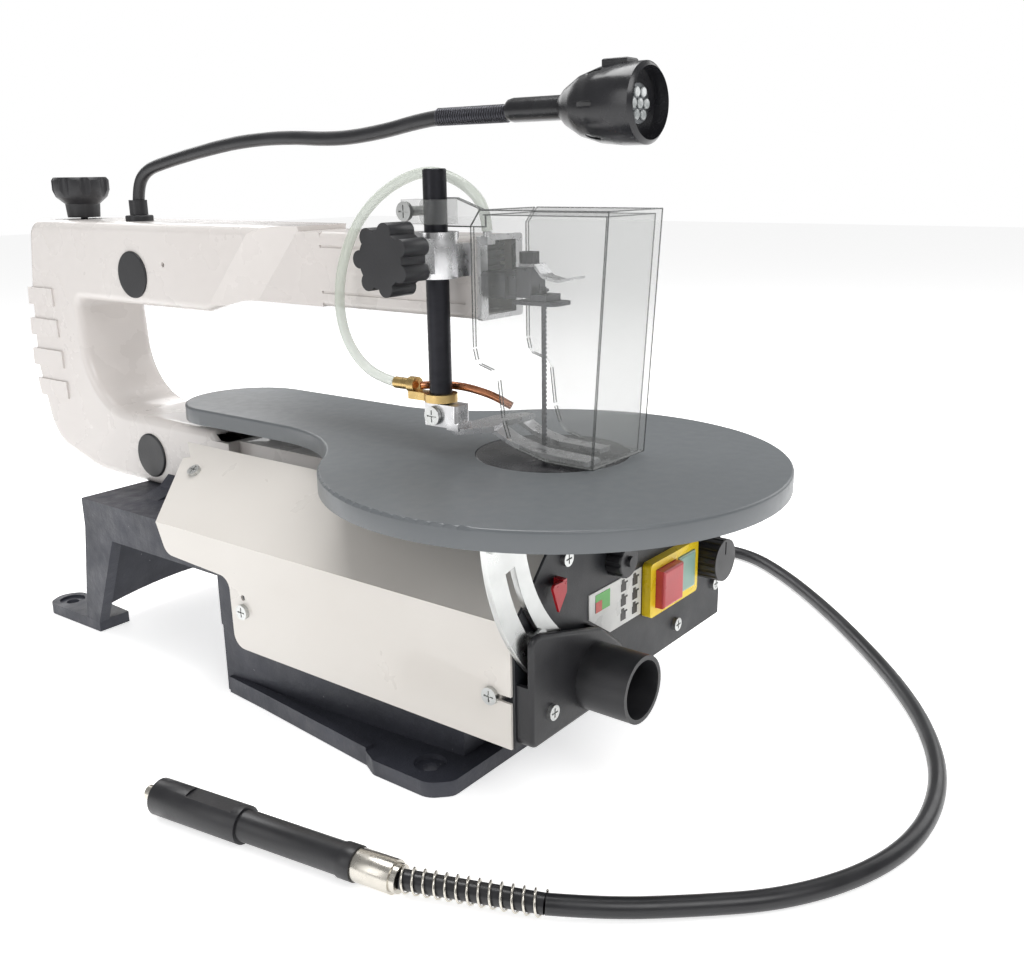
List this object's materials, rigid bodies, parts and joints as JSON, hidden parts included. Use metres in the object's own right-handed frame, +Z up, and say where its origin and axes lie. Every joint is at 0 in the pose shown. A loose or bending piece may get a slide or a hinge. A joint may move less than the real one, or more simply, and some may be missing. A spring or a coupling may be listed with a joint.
{
  "type": "scroll saw",
  "caption": "Parallel-arm scroll saw with tilting round table, clear blade guard, hold-down foot, gooseneck lamp, dust spout and flexible shaft with handpiece",
  "frame": {"origin": "midway between the two front bolt holes of the base, on the bench surface", "axes": "+X to the operator's right, +Y to the rear along the arms, +Z up"},
  "size_m": [0.5381, 0.6925, 0.3676],
  "materials": {
    "cast_iron_base": "rough dark paint",
    "white_shell": "gloss enamel",
    "zinc_screw": "zinc plated",
    "black_plastic": "satin",
    "black_sheet": "satin powder coat",
    "silver_casting": "bright cast",
    "rubber": "matt",
    "black_oxide": "black oxide",
    "red_plastic": "gloss",
    "yellow_plastic": "gloss",
    "green_plastic": "gloss",
    "steel": "machined",
    "arm_paint": "painted",
    "bronze": "sintered bronze",
    "table_paint": "satin grey",
    "zinc_sheet": "zinc plated",
    "clear": "clear acrylic",
    "copper": "drawn copper",
    "brass": "turned",
    "neck": "black coated flexible conduit",
    "nickel": "nickel plated"
  },
  "bodies": {
    "frame": {"air_bellows": "rubber", "air_hose": "clear", "base_casting": "cast_iron_base", "cable_gland": "black_plastic", "dust_port": "black_plastic", "flex_ferrule": "nickel", "flex_nut": "nickel", "flex_port": "steel", "flex_shaft": "rubber", "flex_spring": "steel", "frame_left_shell": "white_shell", "frame_right_shell": "white_shell", "front_panel": "black_sheet", "handpiece": "black_plastic", "lamp_socket": "black_plastic", "machine_screws": "zinc_screw", "motor_end_cap": "black_plastic", "motor_housing": "steel", "nose_plate": "silver_casting", "pivot_caps": "black_plastic", "pivot_pins": "zinc_screw", "right_cover": "black_sheet", "rod_clamp": "silver_casting", "shaft_bearing": "steel", "side_cover": "white_shell", "switch_housing": "yellow_plastic", "tilt_pointer": "red_plastic"},
    "upper_arm": {"upper_arm": "arm_paint", "upper_arm_bush": "bronze", "upper_blade_clamp": "black_oxide", "tension_lever": "steel"},
    "blade_screw": {"blade_clamp_screw": "black_oxide"},
    "lower_arm": {"lower_arm": "arm_paint", "lower_arm_bush": "bronze", "lower_blade_clamp": "black_oxide"},
    "blade": {"blade": "steel"},
    "rear_link": {"tension_rod": "black_oxide"},
    "tension_knob": {"tension_knob": "black_plastic"},
    "drive": {"rotor": "steel", "crank": "steel"},
    "connecting_rod": {"connecting_rod": "arm_paint"},
    "table": {"table": "table_paint", "table_insert": "black_plastic", "trunnion_arc": "zinc_sheet"},
    "table_lock": {"table_lock_knob": "black_plastic"},
    "hold_down": {"hold_down_rod": "black_oxide", "guard_bracket": "clear", "rod_screws": "zinc_screw", "air_nozzle": "copper", "nozzle_clamp": "brass"},
    "foot": {"hold_down_foot": "silver_casting"},
    "guard": {"blade_guard": "clear"},
    "star_knob": {"star_knob": "black_plastic"},
    "stop_button": {"stop_button": "red_plastic"},
    "start_button": {"start_button": "green_plastic"},
    "speed_knob": {"speed_knob": "black_plastic"},
    "lamp": {"gooseneck": "neck", "lamp_head": "black_plastic"},
    "lamp_switch": {"lamp_switch": "black_plastic"},
    "collet": {"handpiece_collet": "nickel"}
  },
  "joints": [
    {"name": "upper_arm_rock", "type": "hinge", "parent": "frame", "child": "upper_arm", "pos_m": [0, 0.313, 0.252], "axis": [1, 0, 0], "range_deg": [-1.22, 1.22], "deforming": ["air_bellows"]},
    {"name": "lower_arm_rock", "type": "hinge", "parent": "frame", "child": "lower_arm", "pos_m": [0, 0.313, 0.1234], "axis": [1, 0, 0], "range_deg": [-1.22, 1.22]},
    {"name": "blade_hang", "type": "hinge", "parent": "upper_arm", "child": "blade", "pos_m": [0, -0.015, 0.2558], "axis": [1, 0, 0], "range_deg": [-1.22, 1.22]},
    {"name": "rear_rod_hang", "type": "hinge", "parent": "upper_arm", "child": "rear_link", "pos_m": [0, 0.412, 0.258], "axis": [1, 0, 0], "range_deg": [-1.22, 1.22]},
    {"name": "connecting_rod_swing", "type": "hinge", "parent": "lower_arm", "child": "connecting_rod", "pos_m": [0, 0.095, 0.1294], "axis": [1, 0, 0], "range_deg": [-1.22, 1.22]},
    {"name": "blade_screw_turn", "type": "hinge", "parent": "upper_arm", "child": "blade_screw", "pos_m": [0, -0.0055, 0.268], "axis": [0, 0, 1], "range_deg": [-360, 360]},
    {"name": "tension_knob_turn", "type": "hinge", "parent": "rear_link", "child": "tension_knob", "pos_m": [0, 0.412, 0.3], "axis": [0, 0, 1], "range_deg": [-360, 360]},
    {"name": "motor_spin", "type": "hinge", "parent": "frame", "child": "drive", "pos_m": [0, 0.095, 0.082], "axis": [1, 0, 0], "continuous": true},
    {"name": "collet_spin", "type": "hinge", "parent": "frame", "child": "collet", "pos_m": [-0.1965, 0.098, 0.0098], "axis": [-0.1551, 0.9879, 0], "continuous": true},
    {"name": "table_tilt", "type": "hinge", "parent": "frame", "child": "table", "pos_m": [0, -0.015, 0.167], "axis": [0, 1, 0], "range_deg": [0, 4.4]},
    {"name": "table_lock_turn", "type": "hinge", "parent": "frame", "child": "table_lock", "pos_m": [-0.008, -0.071, 0.1175], "axis": [0, 1, 0], "range_deg": [-180, 180]},
    {"name": "hold_down_height", "type": "slide", "parent": "frame", "child": "hold_down", "axis": [0, 0, 1], "range_m": [0, 0.025]},
    {"name": "foot_pitch", "type": "hinge", "parent": "hold_down", "child": "foot", "pos_m": [-0.0326, 0.0315, 0.189], "axis": [-1, 0, 0], "range_deg": [0, 4]},
    {"name": "guard_lift", "type": "hinge", "parent": "hold_down", "child": "guard", "pos_m": [-0.025, 0.043, 0.2976], "axis": [-1, 0, 0], "range_deg": [0, 14]},
    {"name": "star_knob_turn", "type": "hinge", "parent": "frame", "child": "star_knob", "pos_m": [-0.066, 0.0315, 0.275], "axis": [1, 0, 0], "range_deg": [-360, 360]},
    {"name": "stop_press", "type": "slide", "parent": "frame", "child": "stop_button", "axis": [0, 1, 0], "range_m": [0, 0.002], "stiffness_N_per_m": 150},
    {"name": "start_press", "type": "slide", "parent": "frame", "child": "start_button", "axis": [0, 1, 0], "range_m": [0, 0.002], "stiffness_N_per_m": 150},
    {"name": "speed_turn", "type": "hinge", "parent": "frame", "child": "speed_knob", "pos_m": [0.092, -0.075, 0.09], "axis": [0, 1, 0], "range_deg": [0, 270]},
    {"name": "lamp_swivel", "type": "hinge", "parent": "frame", "child": "lamp", "pos_m": [-0.008, 0.33, 0.3], "axis": [0, 0, 1], "range_deg": [-60, 60]},
    {"name": "lamp_switch_press", "type": "slide", "parent": "lamp", "child": "lamp_switch", "axis": [0, 0, -1], "range_m": [0, 0.0011], "stiffness_N_per_m": 150}
  ],
  "couplings": [
    {"joint": "lower_arm_rock", "follows": "upper_arm_rock", "ratio": 1},
    {"joint": "blade_hang", "follows": "upper_arm_rock", "ratio": -1},
    {"joint": "rear_rod_hang", "follows": "upper_arm_rock", "ratio": -1},
    {"joint": "connecting_rod_swing", "follows": "upper_arm_rock", "ratio": -1},
    {"joint": "collet_spin", "follows": "motor_spin", "ratio": 1}
  ]
}
